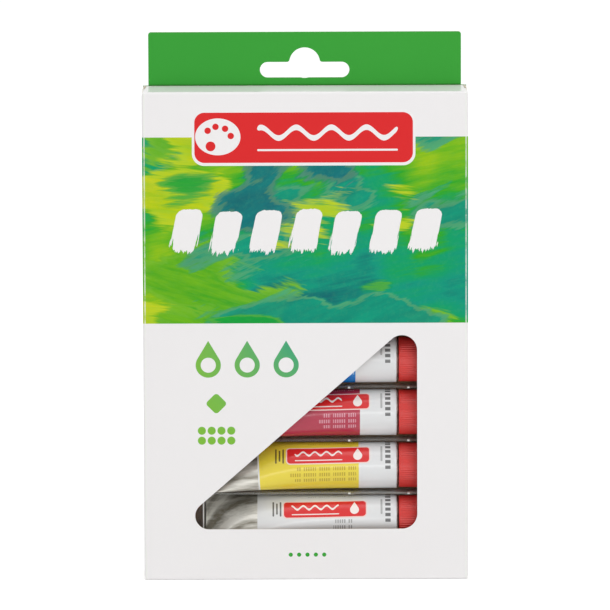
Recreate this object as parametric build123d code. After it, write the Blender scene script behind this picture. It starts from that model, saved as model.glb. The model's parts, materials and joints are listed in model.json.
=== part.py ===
from build123d import *
from math import cos, pi, radians, sin, sqrt, tan
import os

# A hanging carton of eight gouache tubes. The board is folded at creases, and each wall or
# flap between two creases is a piece of its own. Front faces -Y, up is +Z, and the origin is
# at the middle of the bottom. Sizes are in millimetres, angles in degrees.

# Carton, measured outside
CARTON_WIDTH = 116.0
CARTON_DEPTH = 21.0
CARTON_HEIGHT = 176.0
BOARD = 0.45
CREASE_RADIUS = 0.7
CREASE_GAP = 0.05
SQUARE_FOLD = 90.0
FLAP_INSET = 0.35

# Hanging header and its slot
HEADER_RISE = 19.2
HEADER_INSET = 2.1
HEADER_CORNER = 1.0
PLY_GAP = 0.4
SLOT_DROP = 13.6
SLOT_LENGTH = 32.0
SLOT_HEIGHT = 5.6
HUMP_RADIUS = 5.5
HUMP_RISE = 5.2
HUMP_FILLET = 0.9

# Window in the front wall: a right triangle with round corners
WINDOW_RIGHT = 39.75
WINDOW_BOTTOM = 18.4
WINDOW_RUN = 87.65
WINDOW_RISE = 76.6
WINDOW_RADIUS = 5.4
WINDOW_TIP_RADIUS = 4.9

# Top closure
LID_BACK_GAP = 0.3
TUCK_LENGTH = 8.0
TUCK_LEAN = 15.0
TUCK_SIDE_GAP = 1.6
TUCK_CORNER = 4.0
DUST_LENGTH = 20.0
DUST_TIP_DEPTH = 6.5
DUST_FRONT_GAP = 1.3
DUST_REAR_GAP = 4.6
DUST_FLARE = 2.0
DUST_CORNER = 2.0
DUST_DROP = 0.3

# Glued seam and bottom closure
GLUE_FLAP_WIDTH = 12.0
GLUE_FLAP_TAPER = 15.0
GLUE_FLAP_GAP = 0.4
BOTTOM_BACK_GAP = 0.3
BOTTOM_INNER_LENGTH = 15.0

# Thermoformed tray of clear film
FILM = 0.3
TRAY_SIDE_GAP = 0.4
TRAY_FOOT_GAP = 0.1
TRAY_HEAD_GAP = 0.7
TRAY_BACK_GAP = 0.35
TRAY_LIP = 2.5
TRAY_FACE_DEPTH = 7.2
TRAY_CORNER = 3.0
POCKET_WEB = 0.7
POCKET_DRAFT = 1.5
POCKET_CORNER = 1.2
POCKET_LEFT_GAP = 0.6
POCKET_RIGHT_GAP = 0.7
NUB_RISE = 1.6
NUB_LENGTH = 2.4
NUB_WIDTH = 0.5
NUB_NEAR = 16.0
NUB_FAR = 36.8

# Tubes, lying across the carton with their caps to the right
STACK_MARGIN = 8.0
TUBE_RADIUS = 8.3
TUBE_WALL = 0.15
CAP_END_GAP = 10.25
TUBE_LENGTH = 68.4
TUBE_REST_GAP = 0.3
CRIMP_GAP = 0.54
CRIMP_TILT = 44.5
CRIMP_HALF = 0.45
CRIMP_FOLD = 3.0
CRIMP_THICKNESS = 1.0
FLATTEN_POWER = 3.2
SHOULDER_RISE = 1.2
NECK_RADIUS = 4.0
NECK_LENGTH = 9.0
NOZZLE_BORE = 1.6
PAINT_CLEARANCE = 0.05

# Screw caps
CAP_RADIUS = 8.0
CAP_LENGTH = 14.5
CAP_START_GAP = 0.85
CAP_WALL = 1.1
CAP_RIB_DEPTH = 0.3
CAP_RIBS = 28
CAP_COLLAR = 0.8
CAP_CHAMFER = 0.6
CAP_SLEEVE_RADIUS = 5.2
CAP_THREAD_CLEARANCE = 0.08

# Worked out from the sizes above
FRONT_Y = -CARTON_DEPTH / 2
BACK_Y = CARTON_DEPTH / 2
LEFT_X = -CARTON_WIDTH / 2
BACK_INNER_Y = BACK_Y - BOARD
TOTAL_HEIGHT = CARTON_HEIGHT + HEADER_RISE
HEADER_WIDTH = CARTON_WIDTH - 2 * HEADER_INSET
HEADER_PLY_Y = BACK_INNER_Y - BOARD
LID_LENGTH = HEADER_PLY_Y - LID_BACK_GAP - FRONT_Y
TUCK_Y = FRONT_Y + LID_LENGTH
TUCK_HALF_WIDTH = CARTON_WIDTH / 2 - TUCK_SIDE_GAP
TUCK_FOLD = SQUARE_FOLD - TUCK_LEAN
DUST_TOP_Z = CARTON_HEIGHT - BOARD - DUST_DROP
DUST_BOTTOM_Z = 2 * BOARD
FLAP_HALF_WIDTH = CARTON_WIDTH / 2 - FLAP_INSET
TRAY_HALF_WIDTH = CARTON_WIDTH / 2 - 2 * BOARD - TRAY_SIDE_GAP
TRAY_BASE_Z = DUST_BOTTOM_Z + BOARD + TRAY_FOOT_GAP
TRAY_TOP_Z = DUST_TOP_Z - BOARD - TRAY_HEAD_GAP
TRAY_MIDDLE_Z = (TRAY_BASE_Z + TRAY_TOP_Z) / 2
TRAY_BACK_Y = BACK_INNER_Y - TRAY_BACK_GAP
TRAY_FACE_Y = FRONT_Y + TRAY_FACE_DEPTH
TUBE_Y = TRAY_BACK_Y - FILM - TUBE_REST_GAP - TUBE_RADIUS
CAP_END_X = CARTON_WIDTH / 2 - CAP_END_GAP
CAP_START_X = CAP_END_X - CAP_LENGTH
TUBE_SHOULDER_X = CAP_START_X - CAP_START_GAP
TUBE_END_X = TUBE_SHOULDER_X - TUBE_LENGTH
CRIMP_WIDTH = 2 * sqrt(2 * TUBE_RADIUS**2 - CRIMP_HALF**2)
CRIMP_RISE = CRIMP_WIDTH * cos(radians(CRIMP_TILT)) + CRIMP_THICKNESS * sin(radians(CRIMP_TILT))
POCKET_LEFT_X = TUBE_END_X - POCKET_LEFT_GAP
POCKET_RIGHT_X = CAP_END_X + POCKET_RIGHT_GAP
POCKET_HEIGHT = CRIMP_RISE + 2 * CRIMP_GAP
TUBE_PITCH = POCKET_HEIGHT + POCKET_WEB
TUBE_COUNT = int((CARTON_HEIGHT - 2 * STACK_MARGIN) / TUBE_PITCH)

RIGHT = (1, 0, 0)
LEFT = (-1, 0, 0)
BACK = (0, 1, 0)
FRONT = (0, -1, 0)
UP = (0, 0, 1)


def crease_half(fold, gap):
    """Points of half a rounded crease: its outer arc and its inner arc, from the bisector on."""
    turn = 180 + fold / 2
    centre = Vector(gap + CREASE_RADIUS / tan(radians(fold / 2)), CREASE_RADIUS)

    def at(radius, angle):
        return centre + Vector(radius * cos(radians(angle)), radius * sin(radians(angle)))

    angles = (turn, (turn + 270) / 2, 270)
    inner_radius = CREASE_RADIUS - BOARD
    return [at(CREASE_RADIUS, a) for a in angles], [at(inner_radius, a) for a in angles]


def strip_profile(length, start=SQUARE_FOLD, end=None, start_gap=0.0):
    """Section of one board panel: outer face on y = 0, board towards +y, from x = 0 on.

    An end given as the inside angle of its fold stops at the bisector of that rounded crease,
    and an end given as None is a plain cut.
    """
    outer = []
    inner = []
    for fold, gap in ((start, start_gap), (end, 0)):
        if fold is None:
            outer.append([Vector(gap, 0)])
            inner.append([Vector(gap, BOARD)])
        else:
            outer_arc, inner_arc = crease_half(fold, gap)
            outer.append(outer_arc)
            inner.append(inner_arc)
    outer[1] = [Vector(length - p.X, p.Y) for p in outer[1]]
    inner[1] = [Vector(length - p.X, p.Y) for p in inner[1]]
    edges = [
        Line(outer[0][-1], outer[1][-1]),
        Line(inner[0][-1], inner[1][-1]),
        Line(outer[0][0], inner[0][0]),
        Line(outer[1][0], inner[1][0]),
    ]
    edges += [ThreePointArc(*arc) for arc in outer + inner if len(arc) == 3]
    return make_face(edges)


def prism(origin, along, normal, profile, near, far):
    """Extrudes a profile whose x runs along one direction, between two offsets on its normal."""
    plane = Plane(origin=origin, x_dir=along, z_dir=normal)
    return extrude(plane.offset(near) * profile, amount=far - near)


def mirrored(part):
    """The same part on the other side of the carton."""
    return mirror(part, about=Plane.YZ)


def window_outline():
    """Round-cornered triangle in the plane of the front wall, seen from the front."""
    corners = [
        (WINDOW_RIGHT, WINDOW_BOTTOM),
        (WINDOW_RIGHT, WINDOW_BOTTOM + WINDOW_RISE),
        (WINDOW_RIGHT - WINDOW_RUN, WINDOW_BOTTOM),
    ]
    triangle = make_face(Polyline(*corners, close=True))
    upright = triangle.vertices().sort_by(Axis.X)[1:]
    rounded = fillet(upright, WINDOW_RADIUS)
    tip = rounded.vertices().sort_by(Axis.X)[0]
    return fillet(tip, WINDOW_TIP_RADIUS)


def front_panel():
    across = prism((LEFT_X, FRONT_Y, 0), RIGHT, UP, strip_profile(CARTON_WIDTH, end=SQUARE_FOLD), 0, CARTON_HEIGHT)
    upright = prism(
        (0, FRONT_Y, 0), UP, LEFT, strip_profile(CARTON_HEIGHT, end=SQUARE_FOLD), LEFT_X, -LEFT_X
    )
    window = prism((0, FRONT_Y, 0), RIGHT, FRONT, window_outline(), -CARTON_DEPTH / 2, CREASE_RADIUS)
    return across & upright - window


def side_panel():
    """Left side wall, between the creases of its dust flaps."""
    across = prism((LEFT_X, BACK_Y, 0), FRONT, UP, strip_profile(CARTON_DEPTH, end=SQUARE_FOLD), 0, CARTON_HEIGHT)
    height = DUST_TOP_Z - DUST_BOTTOM_Z
    upright = prism(
        (LEFT_X, 0, DUST_BOTTOM_Z), UP, BACK, strip_profile(height, end=SQUARE_FOLD), FRONT_Y, BACK_Y
    )
    return across & upright


def slot_outline():
    """Hanging slot: a round-ended bar with a hump in the middle of its upper edge."""
    bar = SlotOverall(SLOT_LENGTH, SLOT_HEIGHT)
    hump = Pos(0, SLOT_HEIGHT / 2 + HUMP_RISE - HUMP_RADIUS) * Circle(HUMP_RADIUS)
    slot = bar + hump
    joins = slot.vertices().sort_by(lambda vertex: abs(abs(vertex.X) - HUMP_RADIUS))[:2]
    return fillet(joins, HUMP_FILLET)


def header_outline(bottom_z):
    """Header seen from the front, from a height up to its top edge, with the slot cut out."""
    height = TOTAL_HEIGHT - bottom_z
    sheet = Pos(0, TOTAL_HEIGHT - height / 2) * Rectangle(HEADER_WIDTH, height)
    sheet = fillet(sheet.vertices().group_by(Axis.Y)[-1], HEADER_CORNER)
    return sheet - Pos(0, TOTAL_HEIGHT - SLOT_DROP) * slot_outline()


def back_panel():
    """Back wall, which runs on upwards as the rear ply of the header."""
    wall = prism((-LEFT_X, BACK_Y, 0), LEFT, UP, strip_profile(CARTON_WIDTH, end=SQUARE_FOLD), 0, CARTON_HEIGHT)
    header = prism(
        (0, 0, 0), RIGHT, FRONT, header_outline(CARTON_HEIGHT - BOARD), -BACK_Y, -BACK_INNER_Y
    )
    height = TOTAL_HEIGHT - BOARD
    upright = prism((0, BACK_Y, BOARD), UP, RIGHT, strip_profile(height), LEFT_X, -LEFT_X)
    return (wall + header) & upright


def header_ply():
    """Front ply of the header: the back wall folded over at the top and glued down."""
    outline = header_outline(CARTON_HEIGHT + PLY_GAP)
    return prism((0, 0, 0), RIGHT, FRONT, outline, -BACK_INNER_Y, -HEADER_PLY_Y)


def glue_flap():
    """Seam flap of the back wall, glued inside the left side wall."""
    bottom_z = DUST_BOTTOM_Z + BOARD + GLUE_FLAP_GAP
    top_z = DUST_TOP_Z - BOARD - GLUE_FLAP_GAP
    drop = GLUE_FLAP_WIDTH * tan(radians(GLUE_FLAP_TAPER))
    rear_y = BACK_INNER_Y
    front_y = rear_y - GLUE_FLAP_WIDTH
    outline = Polyline(
        (rear_y, bottom_z),
        (rear_y, top_z),
        (front_y, top_z - drop),
        (front_y, bottom_z + drop),
        close=True,
    )
    return prism((LEFT_X, 0, 0), BACK, RIGHT, make_face(outline), BOARD, 2 * BOARD)


def top_lid():
    """Lid on the front wall's top crease, which narrows to the width of its tuck flap."""
    origin = (0, FRONT_Y, CARTON_HEIGHT)
    section = strip_profile(LID_LENGTH, end=TUCK_FOLD, start_gap=CREASE_GAP)
    sheet = prism(origin, BACK, LEFT, section, -FLAP_HALF_WIDTH, FLAP_HALF_WIDTH)
    outline = Polyline(
        (-FLAP_HALF_WIDTH, 0),
        (FLAP_HALF_WIDTH, 0),
        (TUCK_HALF_WIDTH, LID_LENGTH),
        (-TUCK_HALF_WIDTH, LID_LENGTH),
        close=True,
    )
    return sheet & prism(origin, RIGHT, UP, make_face(outline), -CREASE_RADIUS, 0)


def tuck_flap():
    """Flap on the lid's rear edge, leaning forwards so that it swings clear of the back wall."""
    lean = radians(TUCK_LEAN)
    origin = (0, TUCK_Y, CARTON_HEIGHT)
    down = (0, -sin(lean), -cos(lean))
    inwards = (0, -cos(lean), sin(lean))
    section = strip_profile(TUCK_LENGTH, TUCK_FOLD, start_gap=CREASE_GAP)
    flap = prism(origin, down, LEFT, section, -TUCK_HALF_WIDTH, TUCK_HALF_WIDTH)
    outline = RectangleRounded(2 * TUCK_LENGTH, 2 * TUCK_HALF_WIDTH, TUCK_CORNER)
    return flap & prism(origin, down, inwards, outline, -BOARD, TUCK_LENGTH)


def dust_flap_outline():
    """Left dust flap from above: its front edge slants back so that the lid can pass."""
    front_y = FRONT_Y + DUST_FRONT_GAP
    rear_y = BACK_Y - DUST_REAR_GAP
    shoulder = (rear_y - front_y - DUST_TIP_DEPTH) * DUST_FLARE
    outline = make_face(
        Polyline(
            (0, front_y),
            (DUST_FLARE * BOARD, front_y),
            (shoulder, rear_y - DUST_TIP_DEPTH),
            (DUST_LENGTH, rear_y - DUST_TIP_DEPTH + (DUST_LENGTH - shoulder) / DUST_FLARE),
            (DUST_LENGTH, rear_y - DUST_CORNER),
            (DUST_LENGTH - DUST_CORNER, rear_y),
            (0, rear_y),
            close=True,
        )
    )
    return outline


def dust_flap_top():
    section = strip_profile(DUST_LENGTH, start_gap=CREASE_GAP)
    flap = prism((LEFT_X, 0, DUST_TOP_Z), RIGHT, BACK, section, FRONT_Y, BACK_Y)
    return flap & prism((LEFT_X, 0, DUST_TOP_Z), RIGHT, UP, dust_flap_outline(), -CREASE_RADIUS, 0)


def dust_flap_bottom():
    section = strip_profile(DUST_LENGTH)
    flap = prism((LEFT_X, 0, DUST_BOTTOM_Z), RIGHT, FRONT, section, FRONT_Y, BACK_Y)
    return flap & prism((LEFT_X, 0, DUST_BOTTOM_Z), RIGHT, UP, dust_flap_outline(), 0, CREASE_RADIUS)


def bottom_outer():
    """Outer bottom flap on the front wall, glued over the inner one."""
    section = strip_profile(CARTON_DEPTH - BOTTOM_BACK_GAP)
    return prism((0, FRONT_Y, 0), BACK, RIGHT, section, -FLAP_HALF_WIDTH, FLAP_HALF_WIDTH)


def bottom_inner():
    """Inner bottom flap on the back wall."""
    section = strip_profile(BOTTOM_INNER_LENGTH)
    return prism((0, BACK_Y, BOARD), FRONT, LEFT, section, -FLAP_HALF_WIDTH, FLAP_HALF_WIDTH)


def tube_heights():
    """Heights of the tube axes, lowest first, centred in the tray."""
    lowest = TRAY_MIDDLE_Z - TUBE_PITCH * (TUBE_COUNT - 1) / 2
    return [lowest + TUBE_PITCH * i for i in range(TUBE_COUNT)]


def pocket(grow):
    """One pocket's space at height 0, open to the front, grown outwards by a thickness."""
    length = POCKET_RIGHT_X - POCKET_LEFT_X
    mouth = RectangleRounded(length + 2 * grow, POCKET_HEIGHT + 2 * grow, POCKET_CORNER + grow)
    depth = TRAY_BACK_Y - FILM + grow - TRAY_FACE_Y
    plane = Plane(
        origin=((POCKET_LEFT_X + POCKET_RIGHT_X) / 2, TRAY_FACE_Y, 0), x_dir=RIGHT, z_dir=BACK
    )
    return extrude(plane * mouth, amount=depth, taper=POCKET_DRAFT)


def face_block(shrink):
    """The tray's flat face with its lip, as a solid that is smaller all round by a thickness."""
    width = 2 * (TRAY_HALF_WIDTH - shrink)
    height = TRAY_TOP_Z - TRAY_BASE_Z - 2 * shrink
    outline = RectangleRounded(width, height, TRAY_CORNER - shrink)
    plane = Plane(
        origin=(0, TRAY_FACE_Y + shrink, TRAY_MIDDLE_Z), x_dir=RIGHT, z_dir=BACK
    )
    return extrude(plane * outline, amount=TRAY_LIP - shrink)


def retaining_nubs(z):
    """Two small nubs on the ridge above a tube, which keep the tube in its pocket."""
    centres = (NUB_NEAR, NUB_FAR)
    box = Box(NUB_LENGTH, NUB_RISE, NUB_WIDTH, align=(Align.CENTER, Align.MAX, Align.CENTER))
    return [Pos(x, TRAY_FACE_Y + FILM / 2, z) * box for x in centres]


def tray():
    """Clear film tray: a flat face with a lip, and one deep pocket behind it for each tube."""
    body = face_block(0) - face_block(FILM)
    body += [Pos(0, 0, z) * pocket(FILM) for z in tube_heights()]
    for z in tube_heights()[:-1]:
        body += retaining_nubs(z + TUBE_PITCH / 2)
    return body - [Pos(0, 0, z) * pocket(0) for z in tube_heights()]


def tube_section(share, wall):
    """Section of a tube at a share of the way from shoulder to crimp, less a wall.

    The rim keeps its length as it flattens, so what one half axis loses the other gains.
    """
    small = TUBE_RADIUS + (CRIMP_HALF - TUBE_RADIUS) * share**FLATTEN_POWER
    large = sqrt(2 * TUBE_RADIUS**2 - small**2)
    tilt = radians(CRIMP_TILT)
    run = TUBE_LENGTH - CRIMP_FOLD
    y = TUBE_Y - TUBE_Y * share
    plane = Plane(origin=(TUBE_SHOULDER_X - share * run, y, 0), x_dir=(0, sin(tilt), cos(tilt)), z_dir=LEFT)
    return plane * Ellipse(large - wall, small - wall)


def tube_loft(wall):
    """Solid of the tube's body, round at the shoulder and flat at the crimp."""
    shares = (0, 0.3, 0.55, 0.75, 0.9, 1)
    return loft([tube_section(share, wall) for share in shares])


def crimp():
    """Flattened end of the tube, folded over on itself."""
    fold = Box(
        CRIMP_FOLD + CRIMP_HALF,
        CRIMP_THICKNESS,
        CRIMP_WIDTH,
        align=(Align.MIN, Align.CENTER, Align.CENTER),
    )
    fold = fillet(fold.edges().filter_by(Axis.Z), CRIMP_THICKNESS * 0.4)
    return Pos(TUBE_END_X, 0, 0) * Rot(-CRIMP_TILT, 0, 0) * fold


def turned(points):
    """Revolves a profile of (x, radius) points about the tube's own axis."""
    outline = make_face(Polyline(*[(x, radius) for x, radius in points], close=True))
    return revolve(outline, Axis.X)


def tube_body():
    """Aluminium tube at height 0, with its cone shoulder, its neck and its folded crimp."""
    cone_end = TUBE_SHOULDER_X + SHOULDER_RISE
    neck_end = cone_end + NECK_LENGTH
    shoulder = turned(
        [
            (TUBE_SHOULDER_X, 0),
            (TUBE_SHOULDER_X, TUBE_RADIUS),
            (cone_end, NECK_RADIUS),
            (neck_end, NECK_RADIUS),
            (neck_end, 0),
        ]
    )
    bore = turned(
        [(TUBE_SHOULDER_X, 0), (TUBE_SHOULDER_X, NOZZLE_BORE), (neck_end, NOZZLE_BORE), (neck_end, 0)]
    )
    body = tube_loft(0) + Pos(0, TUBE_Y, 0) * shoulder + crimp()
    return body - tube_loft(TUBE_WALL) - Pos(0, TUBE_Y, 0) * bore


def paint():
    """Gouache inside a tube."""
    return tube_loft(TUBE_WALL + PAINT_CLEARANCE)


def cap_grip(length):
    """Ribbed bar of the cap's outside, from x = 0 on."""
    points = []
    for i in range(CAP_RIBS):
        for radius, step in ((CAP_RADIUS, 0.0), (CAP_RADIUS, 0.45), (CAP_RADIUS - CAP_RIB_DEPTH, 0.72)):
            angle = 2 * pi * (i + step) / CAP_RIBS
            points.append((radius * cos(angle), radius * sin(angle)))
    star = make_face(Polyline(*points, close=True))
    return extrude(Plane(origin=(0, 0, 0), x_dir=BACK, z_dir=RIGHT) * star, amount=length)


def cap():
    """Screw cap at height 0: a ribbed cup with a sleeve inside that runs on the neck."""
    bore_radius = NECK_RADIUS + CAP_THREAD_CLEARANCE
    bore_depth = SHOULDER_RISE - CAP_START_GAP + NECK_LENGTH + CAP_WALL / 2
    envelope = turned(
        [
            (0, 0),
            (0, CAP_RADIUS),
            (CAP_LENGTH - CAP_CHAMFER, CAP_RADIUS),
            (CAP_LENGTH, CAP_RADIUS - CAP_CHAMFER),
            (CAP_LENGTH, 0),
        ]
    )
    collar = turned([(0, 0), (0, CAP_RADIUS), (CAP_COLLAR, CAP_RADIUS), (CAP_COLLAR, 0)])
    inside = turned(
        [(0, 0), (0, CAP_RADIUS - CAP_WALL), (bore_depth, CAP_RADIUS - CAP_WALL), (bore_depth, 0)]
    )
    sleeve_start = SHOULDER_RISE
    sleeve = turned(
        [
            (sleeve_start, bore_radius),
            (sleeve_start, CAP_SLEEVE_RADIUS),
            (bore_depth, CAP_SLEEVE_RADIUS),
            (bore_depth, bore_radius),
        ]
    )
    shell = (cap_grip(CAP_LENGTH) & envelope) + collar - inside + sleeve
    return Pos(CAP_START_X, TUBE_Y, 0) * shell


def write(name, part):
    export_step(part, os.path.join("parts", name + ".step"))


def build():
    os.makedirs("parts", exist_ok=True)
    write("front_panel", front_panel())
    write("back_panel", back_panel())
    write("left_panel", side_panel())
    write("right_panel", mirrored(side_panel()))
    write("header_ply", header_ply())
    write("glue_flap", glue_flap())
    write("top_lid", top_lid())
    write("tuck_flap", tuck_flap())
    write("top_dust_flap_left", dust_flap_top())
    write("top_dust_flap_right", mirrored(dust_flap_top()))
    write("bottom_outer_flap", bottom_outer())
    write("bottom_inner_flap", bottom_inner())
    write("bottom_dust_flap_left", dust_flap_bottom())
    write("bottom_dust_flap_right", mirrored(dust_flap_bottom()))
    write("tray", tray())
    body = tube_body()
    filling = paint()
    screw_cap = cap()
    for number, z in enumerate(tube_heights(), start=1):
        write(f"tube_{number}", Pos(0, 0, z) * body)
        write(f"paint_{number}", Pos(0, 0, z) * filling)
        write(f"cap_{number}", Pos(0, 0, z) * screw_cap)


build()
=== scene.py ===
import json
import math

import bmesh
import bpy
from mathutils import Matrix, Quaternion, Vector, noise


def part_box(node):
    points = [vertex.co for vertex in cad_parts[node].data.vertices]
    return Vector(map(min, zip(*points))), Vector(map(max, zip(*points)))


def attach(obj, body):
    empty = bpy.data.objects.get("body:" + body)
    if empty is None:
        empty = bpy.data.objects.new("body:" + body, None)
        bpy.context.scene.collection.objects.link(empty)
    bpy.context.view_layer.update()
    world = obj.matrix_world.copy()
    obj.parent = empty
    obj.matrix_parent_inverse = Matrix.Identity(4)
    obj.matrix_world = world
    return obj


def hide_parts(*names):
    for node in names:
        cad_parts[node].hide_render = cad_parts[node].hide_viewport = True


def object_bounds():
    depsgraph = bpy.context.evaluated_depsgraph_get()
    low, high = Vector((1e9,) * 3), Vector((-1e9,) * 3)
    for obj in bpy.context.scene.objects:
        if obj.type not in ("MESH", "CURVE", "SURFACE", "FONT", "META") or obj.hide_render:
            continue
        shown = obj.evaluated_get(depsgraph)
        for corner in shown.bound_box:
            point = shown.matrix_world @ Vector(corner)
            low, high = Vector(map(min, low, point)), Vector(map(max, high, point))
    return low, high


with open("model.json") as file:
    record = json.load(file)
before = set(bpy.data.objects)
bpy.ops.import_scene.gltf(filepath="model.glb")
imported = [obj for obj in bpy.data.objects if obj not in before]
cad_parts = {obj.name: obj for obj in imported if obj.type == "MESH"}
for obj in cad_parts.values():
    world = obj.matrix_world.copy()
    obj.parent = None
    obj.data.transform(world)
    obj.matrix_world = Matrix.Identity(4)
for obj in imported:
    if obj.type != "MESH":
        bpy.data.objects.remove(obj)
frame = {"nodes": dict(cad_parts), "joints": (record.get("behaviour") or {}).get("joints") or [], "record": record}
cad_low, cad_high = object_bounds()
MM = 0.001
nodes = frame["nodes"]


# ---------------------------------------------------------------- places read from the frame

def joint_place(name):
    """Position of a joint's axis at rest."""
    for joint in frame["joints"]:
        if joint["name"] == name:
            return Vector(joint["pos_m"])
    raise KeyError(name)


TUBES = range(1, 9)
BOARD = 0.45 * MM
CREASE = 0.7 * MM
lid_axis = joint_place("lid_hinge")
tuck_axis = joint_place("tuck_flap_hinge")
dust_axis = joint_place("left_dust_flap_hinge")
FRONT_Y = lid_axis.y
CARTON_TOP = lid_axis.z
HALF_WIDTH = -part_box("left_panel")[0].x
BACK_Y = cad_high.y
HEADER_PLY_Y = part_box("header_ply")[0].y
TUCK_LEAN = math.radians(15)
TUBE_RADIUS = 8.3 * MM
SHOULDER_GAP = 0.85 * MM
SHOULDER_X = joint_place("cap_1_turn").x - SHOULDER_GAP


# ---------------------------------------------------------------- camera, light and ground

CAMERA_AIM = Vector((-0.2 * MM, FRONT_Y, 99.5 * MM))
CAMERA_DISTANCE = 2.75
CAMERA_LENS = 455.2
CAMERA_RISE = math.radians(8.37)
CAMERA_SIDE = math.radians(0.14)
CAMERA_ROLL = math.radians(-0.19)


def make_camera():
    """Long lens nearly straight in front, a little above the middle."""
    flat = math.cos(CAMERA_RISE)
    away = Vector((-math.sin(CAMERA_SIDE) * flat, -math.cos(CAMERA_SIDE) * flat, math.sin(CAMERA_RISE)))
    data = bpy.data.cameras.new("camera")
    data.lens = CAMERA_LENS
    data.sensor_width = 36.0
    data.clip_start = 0.05
    data.clip_end = 50.0
    camera = bpy.data.objects.new("camera", data)
    camera.location = CAMERA_AIM + CAMERA_DISTANCE * away
    turn = away.to_track_quat("Z", "Y") @ Quaternion((0, 0, 1), CAMERA_ROLL)
    camera.rotation_euler = turn.to_euler()
    bpy.context.scene.collection.objects.link(camera)
    bpy.context.scene.camera = camera


def make_lamp(name, place, aim, size, power):
    data = bpy.data.lights.new(name, "AREA")
    data.shape = "RECTANGLE"
    data.size, data.size_y = size
    data.energy = power
    lamp = bpy.data.objects.new(name, data)
    lamp.location = place
    lamp.rotation_euler = (Vector(aim) - Vector(place)).to_track_quat("-Z", "Y").to_euler()
    bpy.context.scene.collection.objects.link(lamp)


make_camera()


# ---------------------------------------------------------------- node-building helpers

def linear(red, green, blue):
    """A colour given in 0..255 screen values, as the linear value that Blender wants."""
    def channel(value):
        value /= 255
        return value / 12.92 if value <= 0.04045 else ((value + 0.055) / 1.055) ** 2.4
    return (channel(red), channel(green), channel(blue), 1.0)


class Field:
    """One number that varies over a surface, as a node socket with ordinary arithmetic."""

    def __init__(self, finish, socket):
        self.finish = finish
        self.socket = socket

    def do(self, operation, *others, clamp=False):
        node = self.finish.node("ShaderNodeMath")
        node.operation = operation
        node.use_clamp = clamp
        for index, value in enumerate((self, *others)):
            self.finish.feed(node.inputs[index], value)
        return Field(self.finish, node.outputs[0])

    def __add__(self, other):
        return self.do("ADD", other)

    def __sub__(self, other):
        return self.do("SUBTRACT", other)

    def __mul__(self, other):
        return self.do("MULTIPLY", other)

    def __neg__(self):
        return self * -1.0

    def other_share(self):
        """What is missing from this to 1."""
        return self * -1.0 + 1.0

    def abs(self):
        return self.do("ABSOLUTE")

    def min(self, other):
        return self.do("MINIMUM", other)

    def max(self, other):
        return self.do("MAXIMUM", other)

    def length(self, other):
        return (self * self + other * other).do("SQRT")

    def inside(self, soft=0.06 * MM):
        """1 where this distance is negative, 0 outside, with a thin soft edge."""
        return self.do("MULTIPLY_ADD", -1.0 / soft, 0.5, clamp=True)

    def over(self, edge, soft):
        """Rises smoothly from 0 to 1 as this passes an edge."""
        return (self - edge).do("MULTIPLY_ADD", 1.0 / soft, 0.5, clamp=True)

    def climb(self, start, length):
        """Rises evenly from 0 at a start to 1 at the end of a length."""
        return (self - start).do("MULTIPLY_ADD", 1.0 / length, 0.0, clamp=True)

    def bars(self, pitch):
        """A sine wave along this, with one crest in each pitch."""
        return (self * (2 * math.pi / pitch)).do("SINE")


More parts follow.
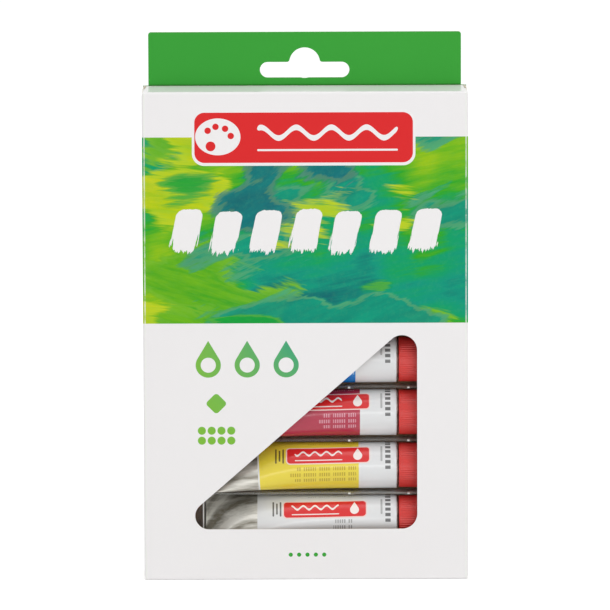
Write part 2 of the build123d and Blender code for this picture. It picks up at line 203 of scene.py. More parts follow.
class Finish:
    """One material: its Principled shader and the fields that feed it."""

    def __init__(self, name):
        self.material = bpy.data.materials.new(name)
        self.material.use_nodes = True
        self.tree = self.material.node_tree
        self.shader = self.tree.nodes["Principled BSDF"]
        self.coordinates = self.node("ShaderNodeTexCoord").outputs["Object"]
        parts = self.node("ShaderNodeSeparateXYZ")
        self.tree.links.new(self.coordinates, parts.inputs[0])
        self.x, self.y, self.z = (Field(self, socket) for socket in parts.outputs)

    def node(self, kind):
        return self.tree.nodes.new(kind)

    def feed(self, socket, value):
        if isinstance(value, Field):
            self.tree.links.new(value.socket, socket)
        elif isinstance(value, bpy.types.NodeSocket):
            self.tree.links.new(value, socket)
        else:
            socket.default_value = value

    def set(self, **values):
        for name, value in values.items():
            self.feed(self.shader.inputs[name.replace("_", " ")], value)

    def point(self, x, y, z):
        node = self.node("ShaderNodeCombineXYZ")
        for socket, value in zip(node.inputs, (x, y, z)):
            self.feed(socket, value)
        return node.outputs[0]

    def noise(self, vector, scale, detail=3.0, rough=0.5, stretch=None):
        if stretch:
            mapping = self.node("ShaderNodeMapping")
            mapping.inputs["Scale"].default_value = stretch
            self.tree.links.new(vector, mapping.inputs["Vector"])
            vector = mapping.outputs[0]
        node = self.node("ShaderNodeTexNoise")
        node.inputs["Scale"].default_value = scale
        node.inputs["Detail"].default_value = detail
        node.inputs["Roughness"].default_value = rough
        self.tree.links.new(vector, node.inputs["Vector"])
        return Field(self, node.outputs["Fac"])

    def mix(self, share, first, second):
        """Colour between two colours."""
        node = self.node("ShaderNodeMix")
        node.data_type = "RGBA"
        self.feed(node.inputs["Factor"], share)
        self.feed(node.inputs["A"], first)
        self.feed(node.inputs["B"], second)
        return node.outputs["Result"]

    def blend(self, share, first, second):
        """Number between two numbers."""
        node = self.node("ShaderNodeMix")
        self.feed(node.inputs["Factor"], share)
        self.feed(node.inputs["A"], first)
        self.feed(node.inputs["B"], second)
        return Field(self, node.outputs["Result"])

    def ramp(self, share, stops):
        node = self.node("ShaderNodeValToRGB")
        elements = node.color_ramp.elements
        while len(elements) < len(stops):
            elements.new(0.5)
        for element, (place, colour) in zip(elements, stops):
            element.position = place
            element.color = colour
        self.feed(node.inputs[0], share)
        return node.outputs["Color"]

    def bump(self, height, strength, distance):
        node = self.node("ShaderNodeBump")
        node.inputs["Strength"].default_value = strength
        node.inputs["Distance"].default_value = distance
        self.feed(node.inputs["Height"], height)
        self.feed(self.shader.inputs["Normal"], node.outputs[0])

    # Distances to flat shapes, from two fields measured across the surface

    def plate(self, u, v, centre, size, radius):
        """Distance to a rectangle with round corners."""
        across = (u - centre[0]).abs() - (size[0] / 2 - radius)
        along = (v - centre[1]).abs() - (size[1] / 2 - radius)
        return across.max(0.0).length(along.max(0.0)) + across.max(along).min(0.0) - radius

    def disc(self, u, v, centre, radius):
        return (u - centre[0]).length(v - centre[1]) - radius

    def drop(self, u, v, centre, radius, tip):
        """Distance to a falling drop: a disc with a pointed top."""
        side = (u - centre[0]).abs()
        height = v - centre[1]
        lean = math.asin(radius / tip)
        cone = side * math.cos(lean) + (height - tip) * math.sin(lean)
        cone = cone.max(-height + radius * math.sin(lean))
        return cone.min(side.length(height) - radius)


# ---------------------------------------------------------------- colours

BOARD_WHITE = linear(240, 238, 238)
CORE_CREAM = linear(232, 226, 210)
LINER_BROWN = linear(206, 160, 118)
HEADER_GREEN = linear(56, 161, 54)
PLATE_RED = linear(220, 40, 42)
MARK_TEAL = linear(30, 158, 132)
MARK_GREEN = linear(128, 188, 62)
CAP_RED = linear(218, 57, 52)

# Heights of the painted band on the walls
BAND_LOW = 92.95 * MM
BAND_HIGH = 159.85 * MM

# Distances to the outer face at which the print ends and the inner liner starts
INK_DEPTH = -0.06 * MM
LINER_DEPTH = -0.40 * MM
LAYER_EDGE = 0.02 * MM
# Height of the pale strip inside the walls' top edges
PALE_EDGE = 1.6 * MM


# ---------------------------------------------------------------- printed board

def paper_grain(finish):
    """Fine unevenness of coated board."""
    fine = finish.noise(finish.coordinates, 900.0, 2.0)
    broad = finish.noise(finish.coordinates, 60.0, 3.0)
    return fine * 0.3 + broad


def carton_depth(finish):
    """Distance to the carton's outer faces: 0 on them and below 0 inside the board."""
    parts = []
    centre = Vector((0, (FRONT_Y + BACK_Y) / 2, CARTON_TOP / 2))
    half = Vector((HALF_WIDTH, (BACK_Y - FRONT_Y) / 2, CARTON_TOP / 2))
    for field, middle, reach in zip((finish.x, finish.y, finish.z), centre, half):
        parts.append(((field - middle).abs() - (reach - CREASE)).max(0.0))
    return parts[0].length(parts[1]).length(parts[2]) - CREASE


def board_layers(finish, depth, print_colour, liner=LINER_BROWN):
    """Print on the outer face, brown liner on the inner one and cream core at cut edges."""
    core = finish.mix(depth.over(INK_DEPTH, LAYER_EDGE), CORE_CREAM, print_colour)
    return finish.mix(depth.over(LINER_DEPTH, LAYER_EDGE), liner, core)


def strokes(finish, turn, stretch, scale, seed):
    """Broad and bristly unevenness, drawn out along brush strokes of one slant."""
    mapping = finish.node("ShaderNodeMapping")
    mapping.inputs["Location"].default_value = (seed, seed * 0.7, seed * 1.3)
    mapping.inputs["Rotation"].default_value = (0, math.radians(turn), 0)
    mapping.inputs["Scale"].default_value = (1 / stretch, 1.0, 1.0)
    finish.tree.links.new(finish.coordinates, mapping.inputs["Vector"])
    along = mapping.outputs[0]
    broad = finish.noise(along, scale, 2.0, 0.55)
    bristle = finish.noise(along, scale * 14, 3.0, 0.7, stretch=(0.22, 1.0, 1.0))
    return broad, bristle


BAND_GROUND = [
    (0.38, linear(0, 104, 106)),
    (0.45, linear(0, 150, 122)),
    (0.51, linear(0, 158, 98)),
    (0.55, linear(40, 164, 36)),
    (0.60, linear(104, 180, 20)),
    (0.68, linear(172, 202, 10)),
]
# Each layer: its strokes' turn, stretch, scale and seed, its edge, its dark and its light ink
BAND_LAYERS = (
    (-34, 2.0, 26.0, 3.1, 0.545, linear(48, 158, 22), linear(120, 186, 20)),
    (40, 1.8, 24.0, 5.7, 0.520, linear(0, 128, 110), linear(0, 158, 124)),
    (-16, 2.4, 30.0, 8.3, 0.570, linear(152, 194, 6), linear(208, 212, 16)),
    (54, 2.0, 28.0, 11.9, 0.595, linear(0, 92, 108), linear(0, 124, 126)),
    (10, 2.6, 34.0, 14.2, 0.600, linear(0, 146, 60), linear(16, 166, 48)),
)


def painted_band(finish):
    """Loose patches of teal, green and yellow-green paint laid over each other."""
    tone = finish.noise(finish.coordinates, 15.0, 3.0, 0.5)
    grain = strokes(finish, 24, 2.0, 26.0, 1.9)[1]
    colour = finish.ramp(tone + (grain - 0.5) * 0.16, BAND_GROUND)
    for turn, stretch, scale, seed, edge, dark, light in BAND_LAYERS:
        broad, bristle = strokes(finish, turn, stretch, scale, seed)
        paint = finish.mix(bristle.over(0.5, 0.5), dark, light)
        reach = broad + (bristle - 0.5) * 0.12
        cover = reach.over(edge, 0.020)
        rim = (reach - edge - 0.012).abs().over(0.010, 0.010).other_share()
        colour = finish.mix(cover * 0.95, colour, paint)
        colour = finish.mix(rim * cover * 0.14, colour, linear(180, 220, 80))
    canvas = finish.noise(finish.coordinates, 700.0, 2.0, 0.6)
    return finish.mix(canvas.over(0.62, 0.30) * 0.06, colour, linear(110, 196, 110))


def in_band(finish):
    """1 at the heights of the painted band."""
    middle = (BAND_LOW + BAND_HIGH) / 2
    return ((finish.z - middle).abs() - (BAND_HIGH - BAND_LOW) / 2).inside()


DAB_COUNT = 7
DAB_START = -42.4 * MM
DAB_PITCH = 14.2 * MM
DAB_HEIGHT = 126.0 * MM
DAB_STEPS = (0.5 * MM, -0.3 * MM, 0.1 * MM)
DAB_SIZE = (9.4 * MM, 15.0 * MM)
DAB_CORNER = 2.6 * MM
DAB_SLANT = 0.20


def seven_dabs(finish):
    """Seven white slanting brush dabs in a row, bristly at their lower ends."""
    across = finish.x - (finish.z - DAB_HEIGHT) * DAB_SLANT
    streak = finish.noise(finish.point(across, 0.0, finish.z * 0.06), 900.0, 3.0, 0.7)
    down = (-finish.z).climb(-DAB_HEIGHT - 1.5 * MM, 8 * MM)
    rough = (streak - 0.5) * (down * (7.5 * MM) + 0.9 * MM)
    distance = None
    for step in range(DAB_COUNT):
        centre = (DAB_START + DAB_PITCH * step, DAB_HEIGHT + DAB_STEPS[step % 3])
        dab = finish.plate(across, finish.z, centre, DAB_SIZE, DAB_CORNER)
        distance = dab if distance is None else distance.min(dab)
    worn = streak.over(0.70, 0.10) * down * -0.7 + 1.0
    return (distance + rough).inside(0.14 * MM) * worn


def wave(finish, u, v, start, end, height, swing, pitch, thick):
    """A stroke that waves along u, with round ends."""
    rise = u.bars(pitch) * swing
    centre = ((start + end) / 2, height)
    return finish.plate(u, v + rise, centre, (end - start, thick), thick * 0.499)


PLATE_RIM = ((-0.5 * MM, 159.55 * MM), (79.5 * MM, 19.9 * MM), 4.4 * MM)
PLATE_FACE = ((-0.5 * MM, 159.66 * MM), (77.7 * MM, 18.0 * MM), 3.6 * MM)
PALETTE_CENTRE = (-31.0 * MM, 160.0 * MM)
PALETTE_WELLS = (
    (-34.6, 162.2, 1.15),
    (-31.8, 163.6, 1.15),
    (-28.4, 162.9, 1.15),
    (-26.4, 160.3, 1.15),
    (-33.6, 156.6, 1.75),
)


def plate_marks(finish):
    """Plain marks on the red plate: a mixing palette, a wave and a line."""
    x, z = finish.x, finish.z
    palette = ((x - PALETTE_CENTRE[0]) * 0.82).length(z - PALETTE_CENTRE[1]) - 6.6 * MM
    for well_x, well_z, radius in PALETTE_WELLS:
        palette = palette.max(-finish.disc(x, z, (well_x * MM, well_z * MM), radius * MM))
    stroke = wave(finish, x, z, -17 * MM, 33 * MM, 161.4 * MM, 1.9 * MM, 12.5 * MM, 2.0 * MM)
    line = finish.plate(x, z, (8.0 * MM, 155.2 * MM), (50 * MM, 0.7 * MM), 0.34 * MM)
    return palette.min(stroke).min(line).inside()


DROP_PLACES = (-34.8 * MM, -20.9 * MM, -7.0 * MM)
DROP_HEIGHT = 77.9 * MM
DIAMOND_CENTRE = (-32.0 * MM, 64.0 * MM)
DOT_PITCH = (3.5 * MM, -3.6 * MM)
FIRST_DOT = (-37.2 * MM, 54.2 * MM)
DIAGONAL = math.sqrt(0.5)


def lower_marks(finish):
    """Three open drops, a diamond and eight dots, below the painted band."""
    x, z = finish.x, finish.z
    marks = None
    for place in DROP_PLACES:
        centre = (place, DROP_HEIGHT)
        drop = finish.drop(x, z, centre, 4.5 * MM, 8.8 * MM).max(-finish.disc(x, z, centre, 2.7 * MM))
        marks = drop if marks is None else marks.min(drop)
    aside = x - DIAMOND_CENTRE[0]
    above = z - DIAMOND_CENTRE[1]
    turned = ((aside + above) * DIAGONAL, (aside - above) * DIAGONAL)
    marks = marks.min(finish.plate(*turned, (0, 0), (5.6 * MM, 5.6 * MM), 1.2 * MM))
    for column in range(4):
        for row in range(2):
            centre = (FIRST_DOT[0] + DOT_PITCH[0] * column, FIRST_DOT[1] + DOT_PITCH[1] * row)
            marks = marks.min(finish.disc(x, z, centre, 1.45 * MM))
    return marks.inside()


FOOT_DOT = (0.4 * MM, 9.1 * MM)
FOOT_DOT_PITCH = 3.0 * MM


def foot_marks(finish):
    """Five small green dots near the bottom edge."""
    marks = None
    for step in range(-2, 3):
        centre = (FOOT_DOT[0] + FOOT_DOT_PITCH * step, FOOT_DOT[1])
        dot = finish.disc(finish.x, finish.z, centre, 0.75 * MM)
        marks = dot if marks is None else marks.min(dot)
    return marks.inside()


def worn_creases(finish, colour):
    """The print with thin broken light lines where its ink has cracked along the upright creases."""
    chips = finish.noise(finish.coordinates, 260.0, 3.0, 0.7)
    from_line = (finish.x.abs() - (HALF_WIDTH - 0.75 * MM)).abs() - 0.22 * MM
    worn = from_line.inside(0.2 * MM) * chips.over(0.42, 0.25) * 0.7
    return finish.mix(worn, colour, linear(236, 240, 232))


def board_surface(finish, gloss=0.36):
    grain = paper_grain(finish)
    finish.set(Roughness=gloss, IOR=1.48, Specular_IOR_Level=0.12)
    finish.bump(grain, 0.10, 0.0002)


def front_print():
    finish = Finish("front_print")
    x, z = finish.x, finish.z
    tone = finish.noise(finish.coordinates, 16.0, 2.0)
    white = finish.mix(tone * 0.35, BOARD_WHITE, linear(234, 232, 233))
    band = in_band(finish)
    colour = finish.mix(band, white, painted_band(finish))
    colour = finish.mix(band * seven_dabs(finish), colour, BOARD_WHITE)
    red = finish.plate(x, z, *PLATE_FACE).inside()
    colour = finish.mix(finish.plate(x, z, *PLATE_RIM).inside(), colour, BOARD_WHITE)
    colour = finish.mix(red, colour, PLATE_RED)
    colour = finish.mix(red * plate_marks(finish), colour, BOARD_WHITE)
    fade = finish.mix(x.climb(-44 * MM, 46 * MM), MARK_GREEN, MARK_TEAL)
    fade = finish.mix(z.climb(48 * MM, 40 * MM), MARK_GREEN, fade)
    colour = finish.mix(lower_marks(finish), colour, fade)
    colour = finish.mix(foot_marks(finish), colour, HEADER_GREEN)
    colour = worn_creases(finish, colour)
    finish.set(Base_Color=board_layers(finish, carton_depth(finish), colour))
    board_surface(finish)
    return finish.material


def wall_print(name):
    """Side and back walls: white board with the painted band running on round them."""
    finish = Finish(name)
    colour = finish.mix(in_band(finish), BOARD_WHITE, painted_band(finish))
    colour = finish.mix(finish.z.over(CARTON_TOP - BOARD, 0.05 * MM), colour, header_green(finish))
    colour = worn_creases(finish, colour)
    near_top = finish.z.over(CARTON_TOP - PALE_EDGE, 0.6 * MM)
    liner = finish.mix(near_top, LINER_BROWN, CORE_CREAM)
    finish.set(Base_Color=board_layers(finish, carton_depth(finish), colour, liner))
    board_surface(finish)
    return finish.material


def header_green(finish):
    """Flat green ink, a little uneven."""
    mottle = finish.noise(finish.coordinates, 24.0, 3.0)
    return finish.mix(mottle * 0.5, HEADER_GREEN, linear(50, 153, 50))


def header_print():
    """Front ply of the header, green on its face and cream at its cut edges."""
    finish = Finish("header_print")
    depth = -(finish.y - HEADER_PLY_Y)
    finish.set(Base_Color=board_layers(finish, depth, header_green(finish)))
    board_surface(finish, 0.34)
    return finish.material


def plain_board(name, depth_of):
    """White flap: print side, core and liner by the distance to its outer face."""
    finish = Finish(name)
    tone = finish.noise(finish.coordinates, 16.0, 2.0)
    white = finish.mix(tone * 0.3, BOARD_WHITE, linear(233, 231, 232))
    finish.set(Base_Color=board_layers(finish, depth_of(finish), white))
    board_surface(finish, 0.22)
    return finish.material


def tuck_depth(finish):
    """Distance to the tuck flap's rear face, which leans forwards."""
    across = (finish.y - tuck_axis.y) * math.cos(TUCK_LEAN)
    return across - (finish.z - tuck_axis.z) * math.sin(TUCK_LEAN)


def coat(node, material):
    """Puts a material on a CAD node."""
    slots = nodes[node].data.materials
    slots.clear()
    slots.append(material)


def dress_carton():
    coat("front_panel", front_print())
    coat("left_panel", wall_print("left_wall_print"))
    coat("right_panel", wall_print("right_wall_print"))
    coat("back_panel", wall_print("back_wall_print"))
    coat("header_ply", header_print())
    coat("top_lid", plain_board("lid_board", carton_depth))
    coat("bottom_outer_flap", plain_board("bottom_board", carton_depth))
    coat("tuck_flap", plain_board("tuck_board", tuck_depth))
    coat("bottom_inner_flap", plain_board("inner_flap_board", lambda finish: -finish.z + BOARD))
    coat("glue_flap", plain_board("seam_board", lambda finish: -finish.x - HALF_WIDTH + BOARD))
    top_flap = plain_board("dust_flap_board", lambda finish: finish.z - dust_axis.z)
    low_flap = plain_board("bottom_flap_board", lambda finish: -finish.z + 2 * BOARD)
    for side in ("left", "right"):
        coat(f"top_dust_flap_{side}", top_flap)
        coat(f"bottom_dust_flap_{side}", low_flap)


# ---------------------------------------------------------------- clear tray

PITCH = (joint_place("cap_8_turn").z - joint_place("cap_1_turn").z) / 7
TRAY_FACE_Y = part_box("tray")[0].y + 1.40 * MM
POCKET_END = -36.6 * MM
# Half the size of the painted glint, a bright white dot, on a nub, and the two places of the nubs along a web
DOT_HALF_WIDTH = 0.42 * MM
DOT_HALF_HEIGHT = 0.10 * MM
NUB_PLACES = (15.5 * MM, 36.7 * MM)
# Height up to which the film is made whiter, as painted light for the lowest gaps between tubes
PAINTED_LIGHT_TOP = 40 * MM


def painted_nub_glints(finish):
    """Painted glints: bright white dots on the nubs, two on each web between pockets."""
    middle = (NUB_PLACES[0] + NUB_PLACES[1]) / 2
    apart = (NUB_PLACES[1] - NUB_PLACES[0]) / 2
    aside = ((finish.x - middle).abs() - apart).abs() - DOT_HALF_WIDTH
    pockets = (finish.z - tube_height(1)) * (1 / PITCH)
    from_web = pockets.do("FRACT") * PITCH - PITCH / 2
    # Painted highlight: opaque white film on the nub, standing in for a glint of light
    glint = aside.max(finish.y - TRAY_FACE_Y - 0.1 * MM)
    return glint.max(-from_web - DOT_HALF_HEIGHT).inside(0.1 * MM)


def tray_film():
    """Clear film: nearly invisible face on and brighter at its edges, with a painted highlight along its end wall,
    painted glints on its nubs, and painted light that whitens it low down.
    """
    finish = Finish("tray_film")
    facing = finish.node("ShaderNodeLayerWeight")
    facing.inputs["Blend"].default_value = 0.35
    edge = Field(finish, facing.outputs["Facing"])
    ripple = finish.noise(finish.coordinates, 120.0, 3.0)
    # Painted highlight: an opaque white strip along the pockets' end wall
    end_wall_highlight = ((finish.x - POCKET_END).abs() - 0.45 * MM).inside(0.08 * MM)
    # Painted light: the film is whiter low down, right of the pockets' end, a little more on its face
    low = finish.z.over(PAINTED_LIGHT_TOP, 24 * MM).other_share()
    low = low * finish.x.over(POCKET_END + 1.0 * MM, 0.1 * MM)
    web = (finish.y - TRAY_FACE_Y - 0.3 * MM).inside(0.1 * MM)
    clear = finish.blend(edge, 0.035, 0.24) + low * (web * 0.02 + 0.10)
    finish.set(
        Base_Color=linear(240, 240, 236),
        Roughness=0.07,
        IOR=1.5,
        Alpha=(painted_nub_glints(finish).max(end_wall_highlight) + clear).min(1.0),
    )
    finish.bump(ripple, 0.06, 0.0004)
    return finish.material


# ---------------------------------------------------------------- tubes

# Each tube's ink, and the ink of its fine rows
INKS = {
    1: (linear(222, 222, 220), linear(150, 150, 150)),
    2: (linear(233, 213, 66), linear(176, 150, 30)),
    3: (linear(180, 52, 76), linear(220, 160, 175)),
    4: (linear(0, 124, 206), linear(150, 190, 225)),
    5: (linear(34, 130, 74), linear(150, 200, 165)),
    6: (linear(232, 120, 40), linear(250, 200, 160)),
    7: (linear(120, 66, 36), linear(200, 170, 150)),
    8: (linear(44, 44, 46), linear(150, 150, 150)),
}
LABEL_WHITE = linear(226, 227, 228)
# Metal colours: the metal's own brushed streaks, and painted reflections in bands along its folds
DARK_STREAK_AND_REFLECTION = linear(132, 127, 114)
LIGHT_STREAK_AND_REFLECTION = linear(242, 240, 232)

# Measures of a label in mm: its start and the slant of that, the end of its ink, its red plate,
# where its three lines start and end, its ticks, and how the metal's folds and the painted reflection bands along
# them curve (per metre)
LABEL = {
    "start": -17.3,
    "slant": -0.045,
    "ink_end": 19.35,
    "plate": (7.9, 5.7),
    "line_starts": (3.0, 1.2, 4.2),
    "line_end": 17.9,
    "ticks": -10.8,
    "fold_curve": 10.0,
}
OWN_LABEL = {
    1: {
        "start": -17.5,
        "slant": 0.0,
        "plate": (6.7, 5.1),
        "line_starts": (10.3, 9.0, 9.6),
        "line_end": 16.7,
        "ticks": -11.8,
        "fold_curve": 36.0,
    },
    2: {"ink_end": 18.9, "plate": (7.9, 5.5), "line_starts": (-3.2, -5.7, -4.0)},
    3: {"line_starts": (6.0, 4.4, 6.0)},
    4: {"ink_end": 17.8},
}


def label_measure(number, what):
    """A measure of a tube's label: the tube's own one if it has one."""
    return OWN_LABEL.get(number, {}).get(what, LABEL[what])


def tube_height(number):
    return joint_place(f"cap_{number}_turn").z


def tube_axis_y():
    return joint_place("cap_1_turn").y


def round_tube(finish, number):
    """Height over a tube's axis, and the way round the tube from its front."""
    up = finish.z - tube_height(number) + (-finish.x + 22 * MM).max(0.0) * 0.02
    front = -(finish.y - tube_axis_y()).do("SIGN")
    out = (-(up * up) + TUBE_RADIUS**2).max(0.0).do("SQRT") * front
    return up, up.do("ARCTAN2", out) * TUBE_RADIUS


def add_red_plate(finish, number, arc, colour):
    """Red plate with a pale rim, a wave, a line and a drop."""
    x = finish.x
    plate_x, plate_rise = (value * MM for value in label_measure(number, "plate"))
    centre = (plate_x, plate_rise)
    rim = finish.plate(x, arc, centre, (30.2 * MM, 6.9 * MM), 1.5 * MM).inside()
    red = finish.plate(x, arc, centre, (29.4 * MM, 6.1 * MM), 1.2 * MM).inside()
    colour = finish.mix(rim, colour, linear(244, 214, 208))
    colour = finish.mix(red, colour, PLATE_RED)
    reach = (plate_x - 12 * MM, plate_x + 5 * MM)
    stroke = wave(finish, x, arc, *reach, plate_rise + 0.6 * MM, 0.75 * MM, 4.2 * MM, 0.8 * MM)
    middle = (plate_x - 3.4 * MM, plate_rise - 2.0 * MM)
    line = finish.plate(x, arc, middle, (17 * MM, 0.36 * MM), 0.17 * MM)
    drop = finish.drop(x, arc, (plate_x + 10.6 * MM, plate_rise - 0.6 * MM), 1.6 * MM, 3.2 * MM)
    return finish.mix(red * stroke.min(line).min(drop).inside(), colour, linear(246, 236, 232))


def add_rows(finish, number, arc, colour, ink):
    """One long and three short rows of fine strokes with gaps."""
    x = finish.x
    rows = finish.plate(x, arc, (9.0 * MM, 12.2 * MM), (17.0 * MM, 1.0 * MM), 0.4 * MM)
    far = label_measure(number, "line_end")
    for row, near in enumerate(label_measure(number, "line_starts")):
        middle = ((near + far) / 2 * MM, (0.4 - 2.15 * row) * MM)
        size = ((far - near) * MM, 1.35 * MM)
        rows = rows.min(finish.plate(x, arc, middle, size, 0.3 * MM))
    fine_strokes = x.bars(0.8 * MM).over(-0.2, 0.8)
    gaps = x.bars(5.3 * MM).over(-0.86, 0.1)
    return finish.mix(rows.inside() * fine_strokes * gaps * 0.85, colour, ink)


def add_dark_marks(finish, number, arc, colour):
    """Three ticks at the label's start, and a ladder and a bar at its end."""
    x = finish.x
    ticks = None
    for step, reach in enumerate((5.8, 4.4, 5.8)):
        place = ((label_measure(number, "ticks") + 1.3 * step) * MM, 5.4 * MM)
        tick = finish.plate(x, arc, place, (0.6 * MM, reach * MM), 0.25 * MM)
        ticks = tick if ticks is None else ticks.min(tick)
    colour = finish.mix(ticks.inside() * 0.85, colour, linear(52, 48, 44))
    ladder = finish.plate(x, arc, (29.3 * MM, 6.3 * MM), (1.9 * MM, 14.4 * MM), 0.4 * MM)
    rungs = arc.bars(2.0 * MM).over(-0.3, 0.3)
    colour = finish.mix(ladder.inside() * rungs * 0.85, colour, linear(52, 52, 52))
    bar = finish.plate(x, arc, (27.0 * MM, 5.9 * MM), (0.7 * MM, 6.4 * MM), 0.3 * MM)
    return finish.mix(bar.inside() * 0.5, colour, linear(96, 96, 96))


def tube_print(number):
    """Printed tube: bare metal at the crimp, then an ink zone, a white zone and plain marks."""
    finish = Finish(f"tube_{number}_print")
    x = finish.x
    up, arc = round_tube(finish, number)
    ink, fine_ink = INKS[number]
    ink = LABEL_WHITE if number == 1 else ink
    start = arc * label_measure(number, "slant") + label_measure(number, "start") * MM
    ink_end = label_measure(number, "ink_end") * MM
    colour = finish.mix((x - start).over(0.55 * MM, 0.06 * MM), LABEL_WHITE, ink)
    colour = finish.mix(x.over(ink_end, 0.06 * MM), colour, LABEL_WHITE)
    colour = add_red_plate(finish, number, arc, colour)
    colour = add_rows(finish, number, arc, colour, fine_ink)
    colour = add_dark_marks(finish, number, arc, colour)
    printed = (x - start).over(0.0, 0.05 * MM) * x.over(SHOULDER_X, 0.05 * MM).other_share()
    scuff = finish.noise(finish.coordinates, 260.0, 4.0, 0.7, stretch=(0.12, 1.0, 1.0))
    bare = (-x + LABEL["start"] * MM).max(0.0)
    sweep = up + bare * bare * label_measure(number, "fold_curve")
    folds = finish.noise(finish.point(x * 0.05, sweep, 0.013 * number), 330.0, 2.0, 0.5)
    # The metal's colour is partly its brushed streaks and partly painted reflections: light and dark bands that
    # follow the folds
    metal = finish.mix((scuff * 0.5 + folds * 0.5).over(0.49, 0.22), DARK_STREAK_AND_REFLECTION, LIGHT_STREAK_AND_REFLECTION)
    finish.set(
        Base_Color=finish.mix(printed, metal, colour),
        Metallic=printed * -0.4 + 0.4,
        Roughness=finish.blend(printed, scuff * 0.20 + 0.26, 0.20),
        IOR=1.5,
    )
    finish.bump((scuff * 0.4 + folds) * (printed * -0.9 + 1.0), 0.40, 0.0004)
    return finish.material


def paste(number):
    """Thick paint, only seen if a tube is cut open."""
    finish = Finish(f"paint_{number}_paste")
    tone = finish.noise(finish.coordinates, 140.0, 4.0)
    finish.set(Base_Color=finish.mix(tone * 0.3, *INKS[number]), Roughness=0.45)
    finish.bump(tone, 0.2, 0.0005)
    return finish.material


TUBE_END_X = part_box("tube_1")[0].x
UNIT = TUBE_RADIUS / MM
FOLD_LENGTH = 3.0 * MM
FOLD_START_X = TUBE_END_X + FOLD_LENGTH
CRIMP_HALF = 0.45 * MM
CRIMP_TILT = math.radians(44.5)
# How late a tube flattens on its way to the crimp
FLATTENING = 4.2
AROUND = 112
FOLD_RINGS = 12
FOLD_RING_STEP = 0.25
BODY_RINGS = 72
PASTE_RINGS = 40
PASTE_AROUND = 64
PASTE_INSET = 0.25 * MM
# Cone, neck and mouth: steps in mm past the shoulder, with their radii
NECK = (
    (0.12, UNIT - 0.07),
    (0.30, UNIT - 0.55),
    (1.20, 4.00),
    (10.0, 4.00),
    (10.2, 3.80),
    (10.2, 1.60),
    (1.4, 1.60),
)


def lathe(profile, steps):
    """Spins a profile of (x, radius) points about the x axis and closes what is left open."""
    mesh = bmesh.new()
    points = [mesh.verts.new((x * MM, 0, radius * MM)) for x, radius in profile]
    line = [mesh.edges.new(pair) for pair in zip(points, points[1:])]
    bmesh.ops.spin(
        mesh, geom=points + line, cent=(0, 0, 0), axis=(1, 0, 0), angle=2 * math.pi,
        steps=steps, use_merge=True,
    )
    bmesh.ops.remove_doubles(mesh, verts=mesh.verts, dist=1e-7)
    rims = [edge for edge in mesh.edges if len(edge.link_faces) == 1]
    bmesh.ops.holes_fill(mesh, edges=rims, sides=0)
    bmesh.ops.recalc_face_normals(mesh, faces=mesh.faces)
    return mesh


def finish_piece(mesh, name, material, sharp_degrees):
    """Turns a bmesh into an object with smooth faces and sharp corners."""
    for face in mesh.faces:
        face.smooth = True
    limit = math.radians(sharp_degrees)
    for edge in mesh.edges:
        edge.smooth = len(edge.link_faces) == 2 and edge.calc_face_angle(0.0) < limit
    data = bpy.data.meshes.new(name)
    mesh.to_mesh(data)
    mesh.free()
    data.materials.append(material)
    piece = bpy.data.objects.new(name, data)
    bpy.context.scene.collection.objects.link(piece)
    return piece


# Share of a tube's length, from its shoulder, at which dents start, and over which they grow
DENT_START = 0.50
DENT_GROWTH = 0.36
BROAD_DENT = 0.16 * MM
FLUTE_DENT = 0.32 * MM


def dent(number, x, turn, share):
    """How far the soft metal is pushed in: nothing at the shoulder, folds towards the crimp."""
    soft = max(0.0, min(1.0, (share - DENT_START) / DENT_GROWTH))
    if soft == 0.0:
        return 0.0
    round_part = Vector((0.0, math.cos(turn), math.sin(turn)))
    along = Vector((x / MM * 0.045 + number * 7.3, 0.0, 0.0))
    broad = 0.5 + 0.5 * noise.noise(along + round_part * 0.9)
    flute = noise.noise(along * 0.8 + round_part * 2.6 + Vector((4.0, 9.0, 2.0)))
    return soft * (BROAD_DENT * broad + FLUTE_DENT * (0.5 + 0.5 * flute))


def flatten(number, point, inset):
    """Moves a point of a round tube to where the flattened tube has it, less an inset.

    The cross-section becomes an ellipse that is wide as it gets thin, so its girth hardly changes.
    """
    turn = math.atan2(point.z, point.y)
    share = (SHOULDER_X - point.x) / (SHOULDER_X - FOLD_START_X)
    share = max(0.0, min(1.0, share))
    small = TUBE_RADIUS + (CRIMP_HALF - TUBE_RADIUS) * share**FLATTENING
    large = math.sqrt(2 * TUBE_RADIUS**2 - small**2)
    if point.x < FOLD_START_X - 0.01 * MM:
        fold = (FOLD_START_X - point.x) / FOLD_LENGTH
        small = 0.50 * MM - 0.20 * MM * abs(math.cos(math.pi * fold)) ** 6
    push = dent(number, point.x, turn, share) if small > 0.7 * MM else 0.0
    along = (large - 0.4 * push - inset) * math.cos(turn)
    across = (max(small - push, small * 0.5) - inset) * math.sin(turn)
    point.y = along * math.sin(CRIMP_TILT) - across * math.cos(CRIMP_TILT)
    point.y += tube_axis_y() * (1 - share)
    point.z = along * math.cos(CRIMP_TILT) + across * math.sin(CRIMP_TILT) + tube_height(number)


def make_tube(number):
    """A soft metal tube: flattened and folded at one end, with a cone and a neck at the other."""
    shoulder = SHOULDER_X / MM
    fold_start = FOLD_START_X / MM + 0.1
    body_length = shoulder - fold_start
    profile = [(TUBE_END_X / MM + FOLD_RING_STEP * ring, UNIT) for ring in range(FOLD_RINGS)]
    profile += [(fold_start + body_length * ring / BODY_RINGS, UNIT) for ring in range(BODY_RINGS + 1)]
    profile += [(shoulder + step, radius) for step, radius in NECK]
    mesh = lathe(profile, AROUND)
    axis = Vector((0, tube_axis_y(), tube_height(number)))
    for vertex in mesh.verts:
        if vertex.co.x < SHOULDER_X + 0.01 * MM and vertex.co.yz.length > 5 * MM:
            flatten(number, vertex.co, 0.0)
        else:
            vertex.co += axis
    bmesh.ops.recalc_face_normals(mesh, faces=mesh.faces)
    piece = finish_piece(mesh, f"soft_tube_{number}", tube_print(number), 40)
    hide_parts(f"tube_{number}")
    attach(piece, "carton")


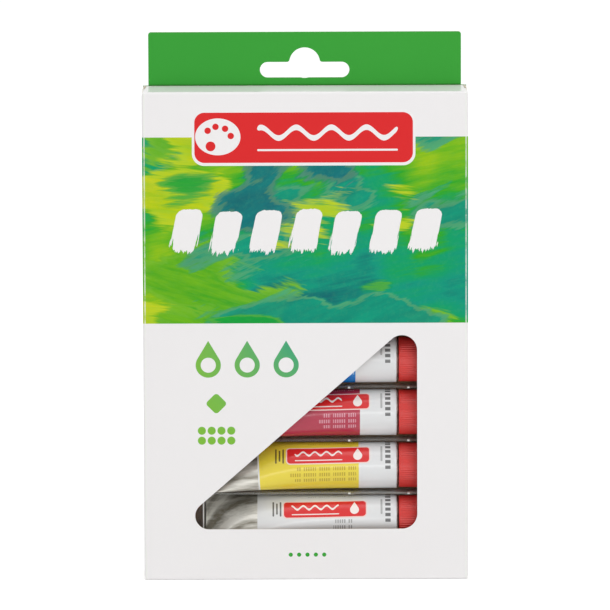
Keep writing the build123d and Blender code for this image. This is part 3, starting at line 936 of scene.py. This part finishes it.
def make_paste(number):
    """The paint in a tube, in the tube's own shape."""
    start = FOLD_START_X / MM + 3.0
    length = SHOULDER_X / MM - 0.3 - start
    profile = [(start + length * ring / PASTE_RINGS, UNIT) for ring in range(PASTE_RINGS + 1)]
    mesh = lathe(profile, PASTE_AROUND)
    for vertex in mesh.verts:
        flatten(number, vertex.co, PASTE_INSET)
    bmesh.ops.recalc_face_normals(mesh, faces=mesh.faces)
    piece = finish_piece(mesh, f"paste_{number}", paste(number), 60)
    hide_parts(f"paint_{number}")
    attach(piece, "carton")


# ---------------------------------------------------------------- caps

CAP_RIBS = 60
RIB_STEPS = 4
RIB_START = 0.4 * MM
RIB_END = 14.2 * MM
RIB_DEPTH = 0.16 * MM
CAP_SHELL_DEPTH = 0.3 * MM
# Bore and collar as (x, radius), outer skin as (x, depth under the rim), dished end, all in mm
CAP_BORE = ((9.0, 4.25), (1.2, 4.25), (1.2, 5.20), (9.0, 5.20))
CAP_SKIN = (
    (9.2, 1.2), (0.1, 1.1), (0.0, 0.9), (0.0, 0.25), (0.1, 0.08), (0.3, 0.0),
    (0.5, 0.0), (7.0, 0.0), (13.5, 0.0), (13.9, 0.1), (14.2, 0.25), (14.4, 0.5),
    (14.5, 0.9), (14.5, 1.4), (14.35, 1.7), (14.2, 2.2),
)
CAP_DISH = ((14.2, 1.20), (14.2, 0.30))
CAP_RADIUS = (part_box("cap_1")[1].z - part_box("cap_1")[0].z) / 2


def cap_plastic():
    finish = Finish("cap_red_plastic")
    tone = finish.noise(finish.coordinates, 220.0, 3.0)
    finish.set(
        Base_Color=finish.mix(tone * 0.4, CAP_RED, linear(206, 52, 48)),
        Roughness=0.34,
        IOR=1.5,
    )
    finish.bump(tone, 0.08, 0.0003)
    return finish.material


def make_cap(number, plastic):
    """Ribbed screw cap with a plain collar, an open mouth and a dished end."""
    rim = CAP_RADIUS / MM
    skin = [(x, rim - depth) for x, depth in CAP_SKIN]
    steps = CAP_RIBS * RIB_STEPS
    mesh = lathe([*CAP_BORE, *skin, *CAP_DISH], steps)
    for vertex in mesh.verts:
        point = vertex.co
        place = round((math.atan2(point.z, point.y) / (2 * math.pi) + 1) * steps)
        ribbed = RIB_START < point.x < RIB_END and point.yz.length > CAP_RADIUS - CAP_SHELL_DEPTH
        if ribbed and place % RIB_STEPS < 2:
            depth = RIB_DEPTH if point.x < 13.6 * MM else RIB_DEPTH / 2
            point.yz = point.yz * (1 - depth / point.yz.length)
    bmesh.ops.translate(mesh, verts=mesh.verts, vec=joint_place(f"cap_{number}_turn"))
    piece = finish_piece(mesh, f"ribbed_cap_{number}", plastic, 30)
    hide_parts(f"cap_{number}")
    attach(piece, f"cap_{number}_body")


# ---------------------------------------------------------------- ground and light

# Lamp: its place, where it points, its size and its power in watts
LAMPS = {
    "key": ((0.9, -1.6, 1.5), (0, 0, 0.1), (1.0, 1.0), 8.4),
    "front": ((0.3, -2.2, 0.22), (0, 0, 0.05), (1.4, 0.16), 4.6),
    "top": ((0, -0.25, 1.6), (0, 0, 0.1), (1.2, 1.2), 6.0),
}
GROUND_SIZE = 30.0
GROUND_GLOW = 0.40
WORLD_LIGHT = 0.64


def strength_by_ray(tree, socket, as_light, when_seen):
    """One strength for what the camera, gloss and clear film see, and another as light."""
    rays = tree.nodes.new("ShaderNodeLightPath")
    seen = rays.outputs["Is Camera Ray"]
    for name in ("Is Glossy Ray", "Is Transmission Ray"):
        either = tree.nodes.new("ShaderNodeMath")
        either.operation = "MAXIMUM"
        tree.links.new(seen, either.inputs[0])
        tree.links.new(rays.outputs[name], either.inputs[1])
        seen = either.outputs[0]
    level = tree.nodes.new("ShaderNodeMapRange")
    level.inputs["To Min"].default_value = as_light
    level.inputs["To Max"].default_value = when_seen
    tree.links.new(seen, level.inputs["Value"])
    tree.links.new(level.outputs["Result"], socket)


def make_ground():
    """Pale ground that the camera sees as white, with the object's shadow kept."""
    mesh = bmesh.new()
    bmesh.ops.create_grid(mesh, x_segments=2, y_segments=2, size=GROUND_SIZE)
    data = bpy.data.meshes.new("ground")
    mesh.to_mesh(data)
    mesh.free()
    ground = bpy.data.objects.new("ground", data)
    bpy.context.scene.collection.objects.link(ground)
    finish = Finish("ground_white")
    tone = finish.noise(finish.coordinates, 3.0, 2.0)
    pale = finish.mix(tone * 0.1, linear(243, 243, 243), linear(238, 238, 238))
    finish.set(Base_Color=pale, Roughness=0.9)
    glow = finish.node("ShaderNodeEmission")
    strength_by_ray(finish.tree, glow.inputs["Strength"], 0.0, GROUND_GLOW)
    both = finish.node("ShaderNodeAddShader")
    finish.feed(both.inputs[0], finish.shader.outputs[0])
    finish.feed(both.inputs[1], glow.outputs[0])
    finish.feed(finish.tree.nodes["Material Output"].inputs["Surface"], both.outputs[0])
    data.materials.append(finish.material)


def make_light():
    """White world that lights less than it shows, and three soft lamps."""
    world = bpy.data.worlds.new("studio")
    bpy.context.scene.world = world
    world.use_nodes = True
    backdrop = world.node_tree.nodes["Background"]
    backdrop.inputs["Color"].default_value = (1.0, 1.0, 1.0, 1.0)
    strength_by_ray(world.node_tree, backdrop.inputs["Strength"], WORLD_LIGHT, 1.0)
    for name, settings in LAMPS.items():
        make_lamp(name, *settings)


# ---------------------------------------------------------------- put it together

dress_carton()
coat("tray", tray_film())
red_plastic = cap_plastic()
slots = [entry["slot"] for entry in frame["record"]["materials"]]
paint_slots = [slot for slot in slots if slot.startswith("paint_")]
for number, slot in zip(TUBES, paint_slots):
    make_tube(number)
    make_cap(number, red_plastic)
    make_paste(number)
make_ground()
make_light()
scene = bpy.context.scene
scene.view_settings.view_transform = "Standard"
